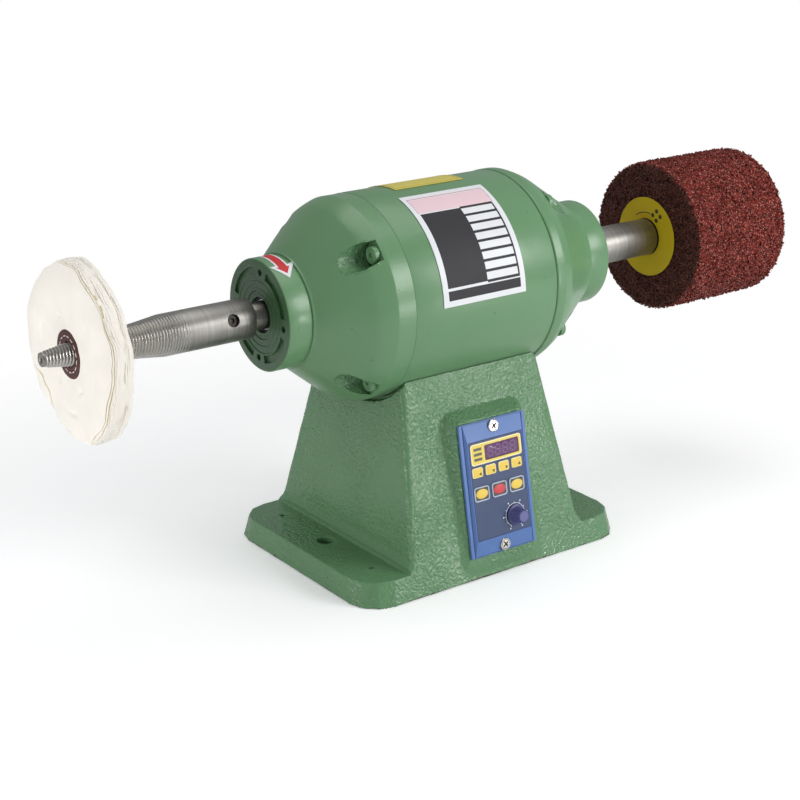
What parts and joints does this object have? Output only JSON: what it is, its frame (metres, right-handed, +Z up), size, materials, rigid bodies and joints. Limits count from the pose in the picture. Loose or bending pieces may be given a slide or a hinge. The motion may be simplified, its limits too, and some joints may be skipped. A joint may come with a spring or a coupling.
{
  "type": "bench polishing machine",
  "caption": "Bench polishing motor on a cast base, with a taper spindle and cloth wheel on one side, a flap drum on the other, and a speed controller in front.",
  "frame": {"origin": "centre of the base's underside, below the shaft's middle", "axes": "+X along the shaft towards the drum, -Y towards the user and the controller, +Z up"},
  "size_m": [0.6538, 0.1997, 0.2768],
  "materials": {
    "base_enamel": "stippled green enamel over rough iron",
    "motor_enamel": "green enamel, half gloss",
    "zinc_steel": "zinc plated",
    "bright_steel": "turned and ground",
    "dark_steel": "blackened",
    "laminations": "stacked laminations",
    "copper": "varnished copper wire",
    "black_plastic": "moulded, matte",
    "board_green": "varnished board",
    "bezel_blue": "moulded, satin",
    "face_navy": "printed film",
    "window_tint": "smoked lens",
    "knob_blue": "moulded, matte",
    "key_yellow": "printed film",
    "key_silver": "printed film",
    "key_red": "printed film",
    "cotton_cloth": "stitched cotton plies",
    "leather": "stiff brown leather",
    "abrasive_cloth": "packed abrasive flaps",
    "drum_resin": "cast resin",
    "yellow_card": "plain card",
    "plate_white": "white plate",
    "label_yellow": "film label",
    "arrow_red": "film label"
  },
  "bodies": {
    "base": {"base_casting": "base_enamel", "bottom_cover": "zinc_steel", "cable_gland": "black_plastic", "gland_locknut": "black_plastic", "saddle_bolt_left": "zinc_steel", "saddle_bolt_right": "zinc_steel", "motor_housing": "motor_enamel", "left_end_bell": "motor_enamel", "right_end_bell": "motor_enamel", "left_bell_bolt_1": "motor_enamel", "left_bell_bolt_2": "motor_enamel", "left_bell_bolt_3": "motor_enamel", "left_bell_bolt_4": "motor_enamel", "right_bell_bolt_1": "motor_enamel", "right_bell_bolt_2": "motor_enamel", "right_bell_bolt_3": "motor_enamel", "right_bell_bolt_4": "motor_enamel", "left_bearing_outer_race": "bright_steel", "right_bearing_outer_race": "bright_steel", "bearing_preload_washer": "bright_steel", "stator_core": "laminations", "stator_winding": "copper", "name_plate": "plate_white", "top_label": "label_yellow", "rotation_arrow": "arrow_red", "controller_housing": "black_plastic", "circuit_board": "board_green", "panel_bezel": "bezel_blue", "panel_face": "face_navy", "display_window": "window_tint", "panel_screw_top": "zinc_steel", "panel_screw_bottom": "zinc_steel", "potentiometer": "zinc_steel"},
    "rotor": {"motor_shaft": "bright_steel", "rotor_core": "laminations", "left_bearing_inner_race": "bright_steel", "right_bearing_inner_race": "bright_steel", "buffing_spindle": "bright_steel", "spindle_set_screw": "dark_steel", "polishing_buff": "cotton_cloth", "buff_outer_washer": "leather", "buff_inner_washer": "leather", "arbor_sleeve": "bright_steel", "arbor_set_screw": "dark_steel", "drum_core": "drum_resin", "abrasive_drum": "abrasive_cloth", "drum_label": "yellow_card", "drum_clamp_washer": "zinc_steel", "arbor_nut": "zinc_steel"},
    "knob": {"speed_knob": "knob_blue"},
    "mode_button_1": {"mode_key_1": "key_yellow"},
    "mode_button_2": {"mode_key_2": "key_yellow"},
    "mode_button_3": {"mode_key_3": "key_yellow"},
    "mode_button_4": {"mode_key_4": "key_yellow"},
    "run_button": {"run_key": "key_silver"},
    "stop_button": {"stop_key": "key_red"},
    "jog_button": {"jog_key": "key_silver"}
  },
  "joints": [
    {"name": "rotor_spin", "type": "hinge", "parent": "base", "child": "rotor", "pos_m": [0, 0, 0.2015], "axis": [1, 0, 0], "continuous": true},
    {"name": "knob_turn", "type": "hinge", "parent": "base", "child": "knob", "pos_m": [0.01295, -0.08675, 0.04142], "axis": [0, -0.9846, 0.1747], "range_deg": [-150, 150]},
    {"name": "mode_press_1", "type": "slide", "parent": "base", "child": "mode_button_1", "axis": [0, 0.9846, -0.1747], "range_m": [0, 0.0005], "stiffness_N_per_m": 1000, "springref_m": -0.0003},
    {"name": "mode_press_2", "type": "slide", "parent": "base", "child": "mode_button_2", "axis": [0, 0.9846, -0.1747], "range_m": [0, 0.0005], "stiffness_N_per_m": 1000, "springref_m": -0.0003},
    {"name": "mode_press_3", "type": "slide", "parent": "base", "child": "mode_button_3", "axis": [0, 0.9846, -0.1747], "range_m": [0, 0.0005], "stiffness_N_per_m": 1000, "springref_m": -0.0003},
    {"name": "mode_press_4", "type": "slide", "parent": "base", "child": "mode_button_4", "axis": [0, 0.9846, -0.1747], "range_m": [0, 0.0005], "stiffness_N_per_m": 1000, "springref_m": -0.0003},
    {"name": "run_press", "type": "slide", "parent": "base", "child": "run_button", "axis": [0, 0.9846, -0.1747], "range_m": [0, 0.0005], "stiffness_N_per_m": 1000, "springref_m": -0.0003},
    {"name": "stop_press", "type": "slide", "parent": "base", "child": "stop_button", "axis": [0, 0.9846, -0.1747], "range_m": [0, 0.0005], "stiffness_N_per_m": 1000, "springref_m": -0.0003},
    {"name": "jog_press", "type": "slide", "parent": "base", "child": "jog_button", "axis": [0, 0.9846, -0.1747], "range_m": [0, 0.0005], "stiffness_N_per_m": 1000, "springref_m": -0.0003}
  ]
}
